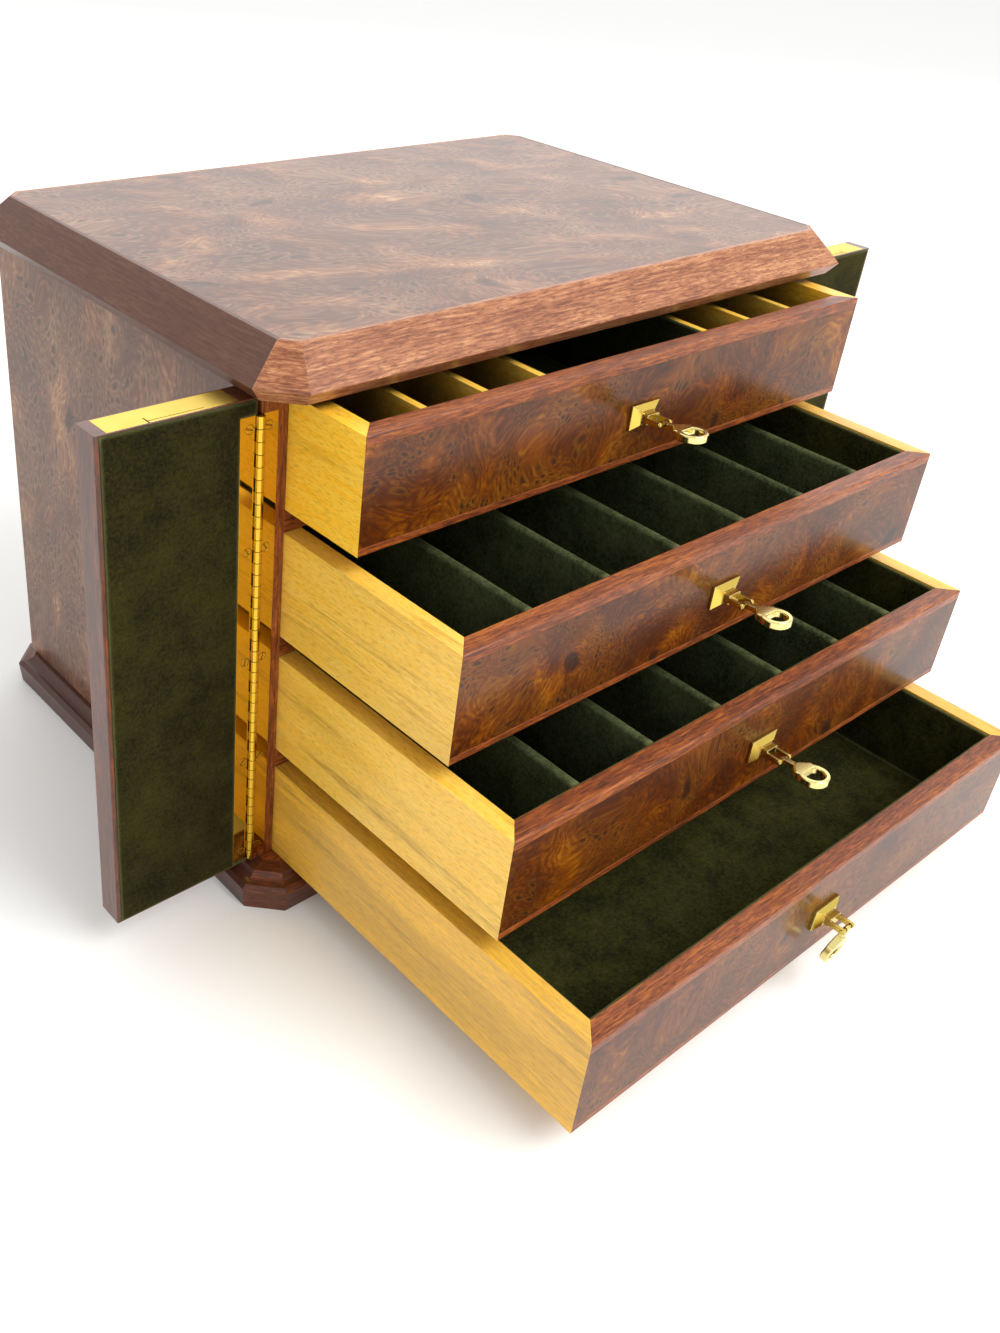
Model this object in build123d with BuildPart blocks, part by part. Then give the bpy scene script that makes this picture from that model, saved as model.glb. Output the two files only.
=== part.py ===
from build123d import *
import os
from math import cos, radians, sin, tan

os.makedirs("parts", exist_ok=True)

# Jewellery chest with four drawers and two side doors. Sizes are in millimetres.
# +X is to the right, +Y to the back and +Z up. The origin is under the middle of the closed chest.
# The doors are folded back beside the front and the drawers stand open by different amounts.

# Drawers, counted from the top one
drawer_width = 360.0
drawer_height = 56.5
drawer_wall = 10.0
drawer_gap = 0.4
drawer_rear_gap = 1.0
drawer_open_share = (0.22, 0.509, 0.686, 0.93)
bottom_thickness = 2.5
bottom_rise = 1.0
bottom_groove = 3.0
lipping_top = 5.0
lipping_bottom = 4.0
lipping_arris = 0.5

# Linings and dividers
velvet_floor = 1.0
velvet_wall = 1.5
velvet_drop = 1.0
divider_drop = 3.0
bare_divider = 4.0
bare_cell = 33.0
bare_cells_per_side = 3
velvet_divider = 5.0
velvet_divider_count = 6
velvet_end_cell = 39.0

# Cabinet
cabinet_depth = 244.0
side_thickness = 14.0
back_thickness = 8.0
stile_depth = 12.0
rail_height = 11.2
runner_width = 15.0
top_board_thickness = 4.2

# Lid and plinth: eight sides, their outlines given as offsets out from the closed chest's footprint
plinth_height = 19.0
lid_thickness = 22.5
lid_nose_height = 7.0
corner_leg = 9.3
moulding_inner = -6.3
lid_under = 8.0
lid_nose = 13.5
lid_arris = -3.8
lid_rounding = 0.5
mitre_angle = 22.5
mitre_overrun = 15.0
plinth_foot = 10.5
plinth_widest = 12.0
plinth_widest_height = 13.2
plinth_shoulder = 9.5
plinth_shoulder_height = 15.0
plinth_ledge = 2.5
plinth_cove_steps = 6

# Doors
door_width = 77.6
door_thickness = 15.0
door_bottom_gap = 1.5
door_top_gap = 3.0
door_arris = 0.4
velvet_panel_proud = 0.7
velvet_panel_recess = 0.8
velvet_panel_margin = 2.0
velvet_panel_edge = 0.6
cap_thickness = 1.5
cap_back_margin = 0.5
cap_free_margin = 6.0
cap_hinge_margin = 9.2
cap_slot_width = 0.6
cap_slot_place = 19.0
cap_slot_length = 27.0
cap_slot_depth = 5.0
cap_slot_back = 1.6

# Piano hinges
pin_outside = 1.0
pin_ahead = 0.8
pin_radius = 1.0
pin_clearance = 0.05
barrel_radius = 2.0
barrel_clearance = 0.3
knuckle_pitch = 6.0
knuckle_gap = 0.2
hinge_bottom_margin = 2.5
hinge_top_margin = 8.0
leaf_reach = 10.0
leaf_thickness = 0.9
screw_count = 5
screw_end_margin = 6.0
screw_reach = 5.0
screw_head_radius = 2.3
screw_head_depth = 1.3
screw_shank_radius = 1.0
screw_length = 8.0
screw_slot_width = 0.6
screw_slot_depth = 0.5
screw_slot_turn = 40.0
screw_clearance = 0.02

# Key shaped pulls, measured forward from the drawer's face
pull_drop = 2.0
plate_width = 20.0
plate_height = 13.0
plate_edge = 1.6
plate_rise = 3.8
plate_crown_width = 10.0
plate_crown_height = 7.6
block_width = 9.0
block_height = 5.4
block_rounding = 0.8
block_length = 7.2
fork_inside = 6.4
fork_arm = 1.3
fork_arm_height = 3.0
bow_pin_ahead = 14.0
bow_pin_radius = 0.8
bow_pin_head_radius = 1.2
bow_pin_head = 0.5
bow_eye_width = 2.6
bow_eye_radius = 1.4
bow_neck_length = 6.4
bow_shoulder_at = 10.8
bow_shoulder = 6.4
bow_ring_radius = 7.8
bow_ring_at = 17.2
bow_ring_thickness = 4.0
bow_hole_radius = 5.0
bow_hole_at = 17.6
bow_hole_flat_at = 14.4
bow_rounding = 0.7
bow_fold = (-3.0, -3.0, -3.0, 100.0)
pull_screw_radius = 1.25
pull_screw_head_radius = 2.8
pull_screw_head = 1.2
pull_screw_reach = 5.0

# Sizes worked out from those above
drawer_count = len(drawer_open_share)
opening_height = drawer_height + 2 * drawer_gap
opening_half = drawer_width / 2 + drawer_gap
half_width = opening_half + side_thickness
half_depth = (cabinet_depth + door_thickness) / 2
front = door_thickness - half_depth
rear = half_depth
front_height = drawer_count * opening_height + (drawer_count - 1) * rail_height
lid_bottom = plinth_height + front_height + top_board_thickness
lid_top = lid_bottom + lid_thickness
drawer_length = cabinet_depth - back_thickness - drawer_rear_gap
pin_x = half_width + pin_outside
pin_y = front - pin_ahead
door_near = pin_x + pin_outside
door_far = door_near + door_width
door_bottom = plinth_height + door_bottom_gap
door_top = lid_bottom - door_top_gap
hinge_bottom = door_bottom + hinge_bottom_margin
knuckle_count = round((door_top - hinge_top_margin - hinge_bottom) / knuckle_pitch)
hinge_length = knuckle_count * knuckle_pitch
hinge_top = hinge_bottom + hinge_length
leaf_edge = barrel_radius + barrel_clearance
screw_pitch = (hinge_length - 2 * screw_end_margin) / (screw_count - 1)
screw_heights = [hinge_bottom + screw_end_margin + n * screw_pitch for n in range(screw_count)]
fork_half = fork_inside / 2 + fork_arm
arm_hole_radius = bow_pin_radius + pin_clearance
pull_hole_radius = pull_screw_radius + screw_clearance


def opening_bottom(number):
    """Height of the floor that a drawer slides on; drawer 1 is the top one."""
    return plinth_height + (drawer_count - number) * (opening_height + rail_height)


def block(corner, opposite, mode=Mode.ADD):
    """A box between two opposite corners, in the part that is being built."""
    size = [abs(b - a) for a, b in zip(corner, opposite)]
    middle = [(a + b) / 2 for a, b in zip(corner, opposite)]
    with Locations(tuple(middle)):
        Box(*size, mode=mode)


def countersunk(points, grow=0.0, mode=Mode.ADD):
    """Screw shapes with their heads flush at these points of the front, driven toward the back."""
    deep = (Align.CENTER, Align.CENTER, Align.MAX)
    heads = [Plane(origin=point, x_dir=(1, 0, 0), z_dir=(0, -1, 0)).location for point in points]
    with Locations(*heads):
        Cone(screw_shank_radius + grow, screw_head_radius + grow, screw_head_depth, align=deep, mode=mode)
        Cylinder(screw_shank_radius + grow, screw_length, align=deep, mode=mode)


def write(piece, name):
    """Labels a finished piece and writes its file."""
    piece.label = name
    export_step(piece, f"parts/{name}.step")


def write_group(pieces, name):
    """Writes separate pieces of one kind as one node."""
    write(Compound(children=pieces), name)


# Lid and plinth mouldings


def corner_leg_at(offset):
    """Leg of the cut-off corner where the outline lies this far outside the footprint."""
    return corner_leg + (2 - 2**0.5) * offset


def octagon(offset):
    """The eight corners of the outline in plan, this far outside the footprint."""
    leg = corner_leg_at(offset)
    x, y = half_width + offset, half_depth + offset
    quarter = [(x, y - leg), (x - leg, y)]
    left = [(-px, py) for px, py in reversed(quarter)]
    lower = [(px, -py) for px, py in reversed(quarter + left)]
    return quarter + left + lower


def octagon_board(low, high):
    """A board with cut-off corners that fills the inside of a moulding."""
    with BuildPart() as board:
        with BuildSketch(Plane.XY.offset(low)):
            Polygon(*octagon(moulding_inner))
        extrude(amount=high - low)
    return board.part


def mitred_moulding(profile, rounding):
    """Eight mitred lengths with this profile of (offset, height) points round the footprint."""
    lengths = []
    corners = [Vector(x, y) for x, y in octagon(0)]
    for n, start in enumerate(corners):
        end = corners[(n + 1) % len(corners)]
        middle = (start + end) / 2
        along = (end - start).normalized()
        outward = Vector(along.Y, -along.X)
        reach = (end - start).length / 2 + mitre_overrun
        with BuildPart() as length:
            with BuildSketch(Plane(origin=middle, x_dir=outward, z_dir=-along)) as section:
                Polygon(*profile)
                if rounding > 0:
                    outer = [v for v in section.vertices() if v.X > moulding_inner + rounding]
                    fillet(outer, radius=rounding)
            extrude(amount=reach, both=True)
            for corner, way in ((start, -1), (end, 1)):
                mitre = Plane(origin=corner, z_dir=along * way - outward * tan(radians(mitre_angle)))
                split(bisect_by=mitre, keep=Keep.BOTTOM)
        lengths.append(length.part)
    return lengths


nose_level = lid_bottom + lid_nose_height
lid_profile = [
    (moulding_inner, lid_bottom),
    (lid_under, lid_bottom),
    (lid_nose, nose_level),
    (lid_arris, lid_top),
    (moulding_inner, lid_top),
]
cove_width = plinth_shoulder - plinth_ledge
cove_height = plinth_height - plinth_shoulder_height
cove = []
for step in range(plinth_cove_steps + 1):
    turn = radians(90 * step / plinth_cove_steps)
    cove.append((plinth_shoulder - cove_width * sin(turn), plinth_height - cove_height * cos(turn)))
plinth_profile = [
    (moulding_inner, 0),
    (plinth_foot, 0),
    (plinth_widest, plinth_widest_height),
    *cove,
    (moulding_inner, plinth_height),
]
write(octagon_board(lid_bottom, lid_top), "lid_panel")
write(octagon_board(0, plinth_height), "base_board")
write_group(mitred_moulding(lid_profile, lid_rounding), "lid_moulding")
write_group(mitred_moulding(plinth_profile, 0), "plinth_moulding")


# Cabinet boards

for side, word in ((-1, "left"), (1, "right")):
    with BuildPart() as side_panel:
        block(
            (side * opening_half, front + stile_depth, plinth_height),
            (side * half_width, rear, lid_bottom),
        )
    write(side_panel.part, f"side_panel_{word}")

with BuildPart() as back_panel:
    block((-opening_half, rear - back_thickness, plinth_height), (opening_half, rear, lid_bottom))
write(back_panel.part, "back_panel")

with BuildPart() as top_board:
    block(
        (-opening_half, front, lid_bottom - top_board_thickness),
        (opening_half, rear - back_thickness, lid_bottom),
    )
write(top_board.part, "top_board")

with BuildPart() as stiles:
    for side in (-1, 1):
        block(
            (side * opening_half, front, plinth_height),
            (side * half_width, front + stile_depth, lid_bottom),
        )
        block(
            (side * (pin_x - leaf_reach), front, hinge_bottom),
            (side * half_width, front + leaf_thickness, hinge_top),
            mode=Mode.SUBTRACT,
        )
        with Locations((side * pin_x, pin_y, (hinge_bottom + hinge_top) / 2)):
            Cylinder(leaf_edge, hinge_length, mode=Mode.SUBTRACT)
        countersunk(
            [(side * (pin_x - screw_reach), front, z) for z in screw_heights],
            grow=screw_clearance,
            mode=Mode.SUBTRACT,
        )
write(stiles.part, "stiles")

rails = []
runners = []
for number in range(1, drawer_count):
    low = opening_bottom(number) - rail_height
    with BuildPart() as rail:
        block((-opening_half, front, low), (opening_half, front + stile_depth, low + rail_height))
    rails.append(rail.part)
    for side in (-1, 1):
        with BuildPart() as runner:
            block(
                (side * opening_half, front + stile_depth, low),
                (side * (opening_half - runner_width), rear - back_thickness, low + rail_height),
            )
        runners.append(runner.part)
write_group(rails, "drawer_rails")
write_group(runners, "drawer_runners")


# Piano hinges


def hinge_leaf(side, reach, first):
    """A leaf on this side's pin, running inward or outward, with every second knuckle from the first."""
    axis = side * pin_x
    toward = side * reach
    with BuildPart() as leaf:
        block(
            (axis + toward * leaf_edge, front, hinge_bottom),
            (axis + toward * leaf_reach, front + leaf_thickness, hinge_top),
        )
        middles = [hinge_bottom + (n + 0.5) * knuckle_pitch for n in range(first, knuckle_count, 2)]
        web = axis + toward * leaf_edge / 2
        with Locations(*[(web, front + leaf_thickness / 2, z) for z in middles]):
            Box(leaf_edge, leaf_thickness, knuckle_pitch - knuckle_gap)
        with Locations(*[(axis, pin_y, z) for z in middles]):
            Cylinder(barrel_radius, knuckle_pitch - knuckle_gap)
        with Locations((axis, pin_y, (hinge_bottom + hinge_top) / 2)):
            Cylinder(pin_radius + pin_clearance, hinge_length, mode=Mode.SUBTRACT)
        countersunk(
            [(axis + toward * screw_reach, front, z) for z in screw_heights],
            grow=screw_clearance,
            mode=Mode.SUBTRACT,
        )
    return leaf.part


def hinge_screws(places):
    """Slotted countersunk screws at these places across the chest, one at each height."""
    with BuildPart() as screws:
        points = [(x, front, z) for x in places for z in screw_heights]
        countersunk(points)
        slots = []
        for n, point in enumerate(points):
            facing = Plane(origin=point, x_dir=(1, 0, 0), z_dir=(0, -1, 0))
            slots.append(facing.location * Location((0, 0, 0), (0, 0, screw_slot_turn * n)))
        with Locations(*slots):
            Box(2 * screw_head_radius, screw_slot_width, 2 * screw_slot_depth, mode=Mode.SUBTRACT)
    return screws.part


with BuildPart() as hinge_pins:
    for side in (-1, 1):
        with Locations((side * pin_x, pin_y, (hinge_bottom + hinge_top) / 2)):
            Cylinder(pin_radius, hinge_length)
write(hinge_pins.part, "hinge_pins")
write(hinge_leaf(-1, -1, 0), "cabinet_hinge_leaf_left")
write(hinge_leaf(1, -1, 0), "cabinet_hinge_leaf_right")
write(hinge_screws([-(pin_x - screw_reach), pin_x - screw_reach]), "cabinet_hinge_screws")


# Doors, folded back beside the cabinet's front


def make_door(side, word):
    """One door: its board, velvet panel, brass cap plate, hinge leaf and screws."""
    velvet_near = door_near + velvet_panel_edge
    velvet_far = door_far - velvet_panel_margin
    leaf_far = pin_x + leaf_reach
    velvet_low = door_bottom + velvet_panel_edge
    velvet_high = door_top - velvet_panel_edge
    velvet_outline = [
        (side * velvet_far, velvet_low),
        (side * velvet_far, velvet_high),
        (side * velvet_near, velvet_high),
        (side * velvet_near, hinge_top),
        (side * leaf_far, hinge_top),
        (side * leaf_far, hinge_bottom),
        (side * velvet_near, hinge_bottom),
        (side * velvet_near, velvet_low),
    ]
    upright = Plane(origin=(0, front, 0), x_dir=(1, 0, 0), z_dir=(0, -1, 0))
    cap_near = (
        side * (door_near + cap_hinge_margin),
        front + velvet_panel_recess,
        door_top - cap_thickness,
    )
    cap_far = (side * (door_far - cap_free_margin), front + door_thickness - cap_back_margin, door_top)
    screw_x = side * (pin_x + screw_reach)

    with BuildPart() as velvet:
        with BuildSketch(upright.offset(velvet_panel_proud)):
            Polygon(*velvet_outline)
        extrude(amount=-(velvet_panel_proud + velvet_panel_recess))
    write(velvet.part, f"door_{word}_velvet_panel")

    with BuildPart() as board:
        block((side * door_near, front, door_bottom), (side * door_far, front + door_thickness, door_top))
        chamfer(board.edges().filter_by(Axis.Z), length=door_arris)
        with BuildSketch(upright):
            Polygon(*velvet_outline)
        extrude(amount=-velvet_panel_recess, mode=Mode.SUBTRACT)
        block(
            (side * door_near, front, hinge_bottom),
            (side * leaf_far, front + leaf_thickness, hinge_top),
            mode=Mode.SUBTRACT,
        )
        with Locations((side * pin_x, pin_y, (hinge_bottom + hinge_top) / 2)):
            Cylinder(leaf_edge, hinge_length, mode=Mode.SUBTRACT)
        block(cap_near, cap_far, mode=Mode.SUBTRACT)
        countersunk([(screw_x, front, z) for z in screw_heights], grow=screw_clearance, mode=Mode.SUBTRACT)
    write(board.part, f"door_{word}_board")

    with BuildPart() as cap:
        block(cap_near, cap_far)
        slot_far = side * (door_far - cap_free_margin - cap_slot_place)
        slot_near = slot_far - side * cap_slot_length
        edge = front + velvet_panel_recess
        low = door_top - cap_thickness
        block(
            (slot_far, edge, low),
            (slot_far - side * cap_slot_width, edge + cap_slot_depth, door_top),
            mode=Mode.SUBTRACT,
        )
        block(
            (slot_far, edge + cap_slot_back, low),
            (slot_near, edge + cap_slot_back + cap_slot_width, door_top),
            mode=Mode.SUBTRACT,
        )
    write(cap.part, f"door_{word}_cap_plate")
    write(hinge_leaf(side, 1, 1), f"door_{word}_hinge_leaf")
    write(hinge_screws([screw_x]), f"door_{word}_hinge_screws")


make_door(-1, "left")
make_door(1, "right")


# Drawers


def front_length(face, low, high):
    """A length of the drawer's front with mitred ends, between two heights."""
    half = drawer_width / 2
    inner = half - drawer_wall
    inside = face + drawer_wall
    with BuildSketch(Plane.XY.offset(low)) as plan:
        Polygon((-half, face), (half, face), (inner, inside), (-inner, inside))
    extrude(plan.sketch, amount=high - low)


def bare_divider_places():
    """Middles of the bare dividers, from the left."""
    inner = drawer_width / 2 - drawer_wall
    step = bare_cell + bare_divider
    right = [inner - n * step + bare_divider / 2 for n in range(1, bare_cells_per_side + 1)]
    return [-x for x in right] + right[::-1]


def velvet_divider_places():
    """Middles of the velvet covered dividers: two wide end cells and equal cells between."""
    inner = drawer_width / 2 - drawer_wall - velvet_wall
    first = -inner + velvet_end_cell + velvet_divider / 2
    step = -2 * first / (velvet_divider_count - 1)
    return [first + n * step for n in range(velvet_divider_count)]


def lining_walls(x_low, x_high, y_low, y_high, low, high):
    """Four upright sheets of velvet round the inside of this space."""
    t = velvet_wall
    spans = [
        ((x_low, y_low), (x_high, y_low + t)),
        ((x_low, y_high - t), (x_high, y_high)),
        ((x_low, y_low + t), (x_low + t, y_high - t)),
        ((x_high - t, y_low + t), (x_high, y_high - t)),
    ]
    sheets = []
    for (x0, y0), (x1, y1) in spans:
        with BuildPart() as sheet:
            block((x0, y0, low), (x1, y1, high))
        sheets.append(sheet.part)
    return sheets


def make_dividers(places, thickness, y_low, y_high, low, high):
    """Upright dividers that run from the front to the back of a drawer."""
    with BuildPart() as dividers:
        with Locations(*[(x, (y_low + y_high) / 2, (low + high) / 2) for x in places]):
            Box(thickness, y_high - y_low, high - low)
    return dividers.part


def make_drawer(number):
    """One drawer with its front, linings and dividers, standing open by its share."""
    name = f"drawer_{number}"
    face = front - drawer_open_share[number - 1] * drawer_length
    low = opening_bottom(number) + drawer_gap
    high = low + drawer_height
    half = drawer_width / 2
    inner = half - drawer_wall
    y_front = face + drawer_wall
    y_rear = face + drawer_length - drawer_wall
    bottom_corner = (-inner - bottom_groove, y_front - bottom_groove, low + bottom_rise)
    bottom_opposite = (inner + bottom_groove, y_rear + bottom_groove, low + bottom_rise + bottom_thickness)
    pull_height = (low + high) / 2 - pull_drop

    def screw_hole():
        """Room for the pull's fixing screw, its head let into the inner face."""
        with Locations((0, face + drawer_wall / 2, pull_height)):
            Cylinder(pull_hole_radius, drawer_wall, rotation=(90, 0, 0), mode=Mode.SUBTRACT)
        with Locations((0, y_front - pull_screw_head / 2, pull_height)):
            Cylinder(
                pull_screw_head_radius + screw_clearance,
                pull_screw_head,
                rotation=(90, 0, 0),
                mode=Mode.SUBTRACT,
            )

    box = []
    for side in (-1, 1):
        with BuildPart() as wall:
            with BuildSketch(Plane.XY.offset(low)):
                Polygon(
                    (side * half, face),
                    (side * inner, y_front),
                    (side * inner, face + drawer_length),
                    (side * half, face + drawer_length),
                )
            extrude(amount=drawer_height)
            block(bottom_corner, bottom_opposite, mode=Mode.SUBTRACT)
        box.append(wall.part)
    with BuildPart() as wall:
        block((-inner, y_rear, low), (inner, face + drawer_length, high))
        block(bottom_corner, bottom_opposite, mode=Mode.SUBTRACT)
    box.append(wall.part)
    write_group(box, f"{name}_box")

    with BuildPart() as bottom:
        block(bottom_corner, bottom_opposite)
    write(bottom.part, f"{name}_bottom")

    with BuildPart() as burl_front:
        front_length(face, low + lipping_bottom, high - lipping_top)
        block(bottom_corner, bottom_opposite, mode=Mode.SUBTRACT)
        screw_hole()
    write(burl_front.part, f"{name}_front")

    lippings = []
    for start, end, outer in ((low, low + lipping_bottom, 0), (high - lipping_top, high, -1)):
        with BuildPart() as lipping:
            front_length(face, start, end)
            face_edges = lipping.edges().filter_by(Axis.X).group_by(Axis.Y)[0]
            chamfer(face_edges.sort_by(Axis.Z)[outer], length=lipping_arris)
            block(bottom_corner, bottom_opposite, mode=Mode.SUBTRACT)
        lippings.append(lipping.part)
    write_group(lippings, f"{name}_lipping")

    floor = low + bottom_rise + bottom_thickness
    velvet_top = high - velvet_drop
    with BuildPart() as carpet:
        block((-inner, y_front, floor), (inner, y_rear, floor + velvet_floor))
    lining = [carpet.part]
    floor += velvet_floor
    if number == 1:
        places = bare_divider_places()
        dividers = make_dividers(places, bare_divider, y_front, y_rear, floor, high - divider_drop)
        middle = places[bare_cells_per_side] - bare_divider / 2
        lining += lining_walls(-middle, middle, y_front, y_rear, floor, high - divider_drop)
        write(dividers, f"{name}_dividers")
    else:
        lining += lining_walls(-inner, inner, y_front, y_rear, floor, velvet_top)
    if number in (2, 3):
        dividers = make_dividers(
            velvet_divider_places(),
            velvet_divider,
            y_front + velvet_wall,
            y_rear - velvet_wall,
            floor,
            high - divider_drop,
        )
        write(dividers, f"{name}_dividers")
    write_group(lining, f"{name}_lining")

    make_pull(name, face, pull_height, bow_fold[number - 1])


def make_pull(name, face, height, fold):
    """The brass pull on a drawer: plate with a fork, folding bow, and the pin and screw that hold them."""
    upright = Plane(origin=(0, face, height), x_dir=(1, 0, 0), z_dir=(0, -1, 0))
    pin_place = (0, face - bow_pin_ahead, height)

    with BuildPart() as pull:
        with BuildSketch(upright):
            Rectangle(plate_width, plate_height)
        extrude(amount=plate_edge)
        with BuildSketch(upright.offset(plate_edge)):
            Rectangle(plate_width, plate_height)
        with BuildSketch(upright.offset(plate_rise)):
            Rectangle(plate_crown_width, plate_crown_height)
        loft(ruled=True)
        with BuildSketch(upright.offset(plate_edge)):
            RectangleRounded(block_width, block_height, block_rounding)
        extrude(amount=block_length - plate_edge)
        for side in (-1, 1):
            arm_x = side * (fork_half - fork_arm / 2)
            block(
                (arm_x - fork_arm / 2, face - block_length, height - fork_arm_height / 2),
                (arm_x + fork_arm / 2, face - bow_pin_ahead, height + fork_arm_height / 2),
            )
            with Locations((arm_x, face - bow_pin_ahead, height)):
                Cylinder(fork_arm_height / 2, fork_arm, rotation=(0, 90, 0))
        with Locations(pin_place):
            Cylinder(arm_hole_radius, 2 * fork_half, rotation=(0, 90, 0), mode=Mode.SUBTRACT)
        with Locations((0, face - pull_screw_reach / 2, height)):
            Cylinder(pull_hole_radius, pull_screw_reach, rotation=(90, 0, 0), mode=Mode.SUBTRACT)
    write(pull.part, f"{name}_key_pull")

    with BuildPart() as pin:
        with Locations(pin_place):
            Cylinder(bow_pin_radius, 2 * fork_half, rotation=(0, 90, 0))
        for side in (-1, 1):
            with Locations((side * (fork_half + bow_pin_head / 2), pin_place[1], height)):
                Cylinder(bow_pin_head_radius, bow_pin_head, rotation=(0, 90, 0))
    with BuildPart() as screw:
        with Locations((0, face + (drawer_wall - pull_screw_reach) / 2, height)):
            Cylinder(pull_screw_radius, drawer_wall + pull_screw_reach, rotation=(90, 0, 0))
        with Locations((0, face + drawer_wall - pull_screw_head / 2, height)):
            Cylinder(pull_screw_head_radius, pull_screw_head, rotation=(90, 0, 0))
    write_group([pin.part, screw.part], f"{name}_key_fixings")

    turn = radians(fold)
    folded = Plane(origin=pin_place, x_dir=(1, 0, 0), z_dir=(0, sin(turn), -cos(turn)))
    write(key_bow.part.moved(folded.location), f"{name}_key_bow")


# The folding bow, with its pin along X at the origin and its ring towards +Y
with BuildPart() as key_bow:
    neck = bow_eye_width / 2
    with BuildSketch():
        Polygon(
            (-neck, bow_neck_length),
            (-bow_shoulder, bow_shoulder_at),
            (-bow_shoulder, bow_ring_at),
            (bow_shoulder, bow_ring_at),
            (bow_shoulder, bow_shoulder_at),
            (neck, bow_neck_length),
        )
        with Locations((0, bow_ring_at)):
            Circle(bow_ring_radius)
        with BuildSketch(mode=Mode.PRIVATE) as hole:
            with Locations((0, bow_hole_at)):
                Circle(bow_hole_radius)
            with Locations((0, bow_hole_flat_at)):
                Rectangle(
                    2 * bow_hole_radius,
                    2 * bow_hole_radius,
                    align=(Align.CENTER, Align.MIN),
                    mode=Mode.INTERSECT,
                )
        add(hole.sketch, mode=Mode.SUBTRACT)
    extrude(amount=bow_ring_thickness / 2, both=True)
    fillet(key_bow.faces().filter_by(Plane.XY).edges(), radius=bow_rounding)
    with BuildSketch():
        Rectangle(bow_eye_width, bow_shoulder_at, align=(Align.CENTER, Align.MIN))
    extrude(amount=bow_eye_radius, both=True)
    Cylinder(bow_eye_radius, bow_eye_width, rotation=(0, 90, 0))
    Cylinder(arm_hole_radius, bow_eye_width, rotation=(0, 90, 0), mode=Mode.SUBTRACT)


for drawer in range(1, drawer_count + 1):
    make_drawer(drawer)
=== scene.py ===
"""Looks of a jewellery chest: burl veneer, mahogany mouldings, yellow drawer boxes, velvet and brass.

Lengths are in metres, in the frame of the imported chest: +X right, +Y back, +Z up. Names that end in
_mm are millimetres, for the scale of a pattern. The doors are folded back and the drawers stand open.
"""

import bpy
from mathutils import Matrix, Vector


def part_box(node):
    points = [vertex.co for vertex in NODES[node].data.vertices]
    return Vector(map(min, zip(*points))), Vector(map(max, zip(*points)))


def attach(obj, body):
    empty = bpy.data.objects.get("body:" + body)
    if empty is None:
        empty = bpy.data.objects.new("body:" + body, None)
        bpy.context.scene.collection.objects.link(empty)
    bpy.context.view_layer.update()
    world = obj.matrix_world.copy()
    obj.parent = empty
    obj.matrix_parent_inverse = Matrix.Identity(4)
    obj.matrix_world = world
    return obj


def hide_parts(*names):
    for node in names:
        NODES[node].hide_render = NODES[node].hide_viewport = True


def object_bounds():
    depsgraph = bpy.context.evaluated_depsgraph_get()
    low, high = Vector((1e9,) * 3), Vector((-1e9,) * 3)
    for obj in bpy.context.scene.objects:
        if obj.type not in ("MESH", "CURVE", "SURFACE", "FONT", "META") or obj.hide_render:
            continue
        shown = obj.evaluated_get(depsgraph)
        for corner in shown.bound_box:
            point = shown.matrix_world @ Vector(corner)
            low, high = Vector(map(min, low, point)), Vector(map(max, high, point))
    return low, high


bl_info = {
    "name": "Jewellery Chest Finish",
    "version": (1, 0, 0),
    "blender": (4, 5, 0),
    "location": "3D View > Sidebar > Chest",
    "description": "Veneer, velvet, brass and a stage for a jewellery chest with four drawers",
    "category": "Object",
}

from math import ceil, pi, radians

import bmesh
import bpy
from bpy.props import FloatProperty, FloatVectorProperty, PointerProperty
from mathutils import Matrix, Vector, noise

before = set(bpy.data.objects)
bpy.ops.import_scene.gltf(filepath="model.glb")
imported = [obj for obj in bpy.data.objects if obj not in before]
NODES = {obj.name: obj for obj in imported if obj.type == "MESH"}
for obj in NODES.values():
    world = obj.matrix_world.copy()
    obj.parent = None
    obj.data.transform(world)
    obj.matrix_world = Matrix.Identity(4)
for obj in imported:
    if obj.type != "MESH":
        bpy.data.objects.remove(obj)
CAD_LOW, CAD_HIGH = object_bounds()
MM = 0.001
DRAWERS = (1, 2, 3, 4)
VELVET_DIVIDED = (2, 3)
SIDES = ("left", "right")

# Points closer than this are at the same place, and edges that turn by more than this are creases
TOUCH = 0.01 * MM
CREASE = radians(40)

# Painted shade where walls close in on velvet and bare wood: how far walls count, and the shares of the
# sky seen when open and when closed in
VELVET_SHADE = (30 * MM, 0.56, 0.24)
WOOD_SHADE = (60 * MM, 0.21, 0.11)

# Roundness of velvet edges: a lining's as a share of the corner rounding, a divider's of its thickness
LINING_ROUND, DIVIDER_ROUND = 0.6, 0.42

# The photograph, and the point in it that the camera's axis passes through
IMAGE_WIDTH_PX, IMAGE_HEIGHT_PX = 1000, 1333
AXIS_X_PX, AXIS_Y_PX = 380.1, 618.7
SENSOR_WIDTH_MM = 36.0

# The stage, in metres: half the floor's width, and each light's place and its width and height
FLOOR_REACH = 8.0
KEY_PLACE, KEY_SIZE = (0.5, -1.5, 1.9), (1.6, 1.2)
BACK_PLACE, BACK_SIZE = (1.35, 1.45, 1.5), (3.0, 1.8)


def linear(hex_colour):
    """An sRGB hex colour as linear red, green and blue."""
    values = [int(hex_colour[n : n + 2], 16) / 255 for n in (1, 3, 5)]
    return tuple(v / 12.92 if v <= 0.04045 else ((v + 0.055) / 1.055) ** 2.4 for v in values)


def colour_property(name, description, hex_colour):
    """A colour that the user can change, with its default as sRGB hex."""
    return FloatVectorProperty(
        name=name, description=description, subtype="COLOR", min=0, max=1, default=linear(hex_colour)
    )


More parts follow.
